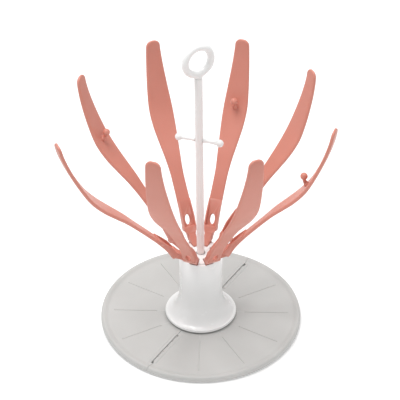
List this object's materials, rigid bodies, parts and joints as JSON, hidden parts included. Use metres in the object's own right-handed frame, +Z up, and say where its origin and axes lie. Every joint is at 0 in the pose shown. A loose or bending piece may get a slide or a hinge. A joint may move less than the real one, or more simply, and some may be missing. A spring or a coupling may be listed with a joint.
{
  "type": "bottle drying rack",
  "caption": "Tabletop rack for drying bottles: round hinged drip tray, flared column, upright curved arms that fold inward, and a central mast with side pegs and a finger ring.",
  "frame": {"origin": "on the ground under the column's axis, in the middle of the hub foot's underside", "axes": "+Z up along the mast; -Y is the front; +X is to the right seen from the front"},
  "size_m": [0.2425, 0.2126, 0.3024],
  "materials": {
    "white_gloss": "gloss moulded white",
    "salmon_satin": "satin salmon pink",
    "grey_matte": "fine matte warm grey",
    "inner_grey": "plain moulded grey",
    "rubber": "soft grey",
    "steel": "drawn steel"
  },
  "bodies": {
    "column": {"column_shell": "white_gloss", "base_hub": "white_gloss", "hub_foot": "rubber", "hinge_pin_front": "steel", "hinge_pin_back": "steel", "hub_screw": "steel", "hub_nut": "steel", "guide_bush": "inner_grey", "crown": "white_gloss", "arm_pin_front_right": "steel", "arm_pin_right_front": "steel", "arm_pin_right_back": "steel", "arm_pin_back_right": "steel", "arm_pin_back_left": "steel", "arm_pin_left_back": "steel", "arm_pin_left_front": "steel", "arm_pin_front_left": "steel"},
    "tray_right": {"tray_half_right": "grey_matte", "tray_foot_right_1": "rubber", "tray_foot_right_2": "rubber", "tray_foot_right_3": "rubber"},
    "tray_left": {"tray_half_left": "grey_matte", "tray_foot_left_1": "rubber", "tray_foot_left_2": "rubber", "tray_foot_left_3": "rubber"},
    "mast": {"mast_rod": "white_gloss", "handle_ring": "white_gloss", "mast_peg_left": "white_gloss", "mast_peg_right": "white_gloss", "runner": "inner_grey", "runner_pin": "steel"},
    "arm_front_right": {"arm_front_right": "salmon_satin"},
    "arm_right_front": {"arm_right_front": "salmon_satin"},
    "arm_right_back": {"arm_right_back": "salmon_satin"},
    "arm_back_right": {"arm_back_right": "salmon_satin"},
    "arm_back_left": {"arm_back_left": "salmon_satin"},
    "arm_left_back": {"arm_left_back": "salmon_satin"},
    "arm_left_front": {"arm_left_front": "salmon_satin"},
    "arm_front_left": {"arm_front_left": "salmon_satin"}
  },
  "joints": [
    {"name": "tray_right_fold", "type": "hinge", "parent": "column", "child": "tray_right", "pos_m": [0, 0, 0.0023], "axis": [0.5225, 0.8526, 0], "range_deg": [0, 80]},
    {"name": "tray_left_fold", "type": "hinge", "parent": "column", "child": "tray_left", "pos_m": [0, 0, 0.0023], "axis": [-0.5225, -0.8526, 0], "range_deg": [0, 80]},
    {"name": "arm_front_right_fold", "type": "hinge", "parent": "column", "child": "arm_front_right", "pos_m": [0.00615, -0.01368, 0.0735], "axis": [-0.9121, -0.4099, 0], "range_deg": [0, 22]},
    {"name": "arm_right_front_fold", "type": "hinge", "parent": "column", "child": "arm_right_front", "pos_m": [0.01402, -0.00533, 0.0735], "axis": [-0.3551, -0.9348, 0], "range_deg": [0, 26]},
    {"name": "arm_right_back_fold", "type": "hinge", "parent": "column", "child": "arm_right_back", "pos_m": [0.01368, 0.00615, 0.0735], "axis": [0.4099, -0.9121, 0], "range_deg": [0, 22]},
    {"name": "arm_back_right_fold", "type": "hinge", "parent": "column", "child": "arm_back_right", "pos_m": [0.00533, 0.01402, 0.0735], "axis": [0.9348, -0.3551, 0], "range_deg": [0, 22]},
    {"name": "arm_back_left_fold", "type": "hinge", "parent": "column", "child": "arm_back_left", "pos_m": [-0.00615, 0.01368, 0.0735], "axis": [0.9121, 0.4099, 0], "range_deg": [0, 22]},
    {"name": "arm_left_back_fold", "type": "hinge", "parent": "column", "child": "arm_left_back", "pos_m": [-0.01402, 0.00533, 0.0735], "axis": [0.3551, 0.9348, 0], "range_deg": [0, 24]},
    {"name": "arm_left_front_fold", "type": "hinge", "parent": "column", "child": "arm_left_front", "pos_m": [-0.01368, -0.00615, 0.0735], "axis": [-0.4099, 0.9121, 0], "range_deg": [0, 30]},
    {"name": "arm_front_left_fold", "type": "hinge", "parent": "column", "child": "arm_front_left", "pos_m": [-0.00533, -0.01402, 0.0735], "axis": [-0.9348, 0.3551, 0], "range_deg": [0, 22]},
    {"name": "mast_slide", "type": "slide", "parent": "column", "child": "mast", "axis": [0, 0, 1], "range_m": [-0.003, 0]}
  ],
  "couplings": [
    {"joint": "arm_right_front_fold", "follows": "arm_front_right_fold", "ratio": 1.1818},
    {"joint": "arm_right_back_fold", "follows": "arm_front_right_fold", "ratio": 1},
    {"joint": "arm_back_right_fold", "follows": "arm_front_right_fold", "ratio": 1},
    {"joint": "arm_back_left_fold", "follows": "arm_front_right_fold", "ratio": 1},
    {"joint": "arm_left_back_fold", "follows": "arm_front_right_fold", "ratio": 1.0909},
    {"joint": "arm_left_front_fold", "follows": "arm_front_right_fold", "ratio": 1.3636},
    {"joint": "arm_front_left_fold", "follows": "arm_front_right_fold", "ratio": 1},
    {"joint": "mast_slide", "follows": "arm_front_right_fold", "m_per_rad": -0.00673}
  ]
}
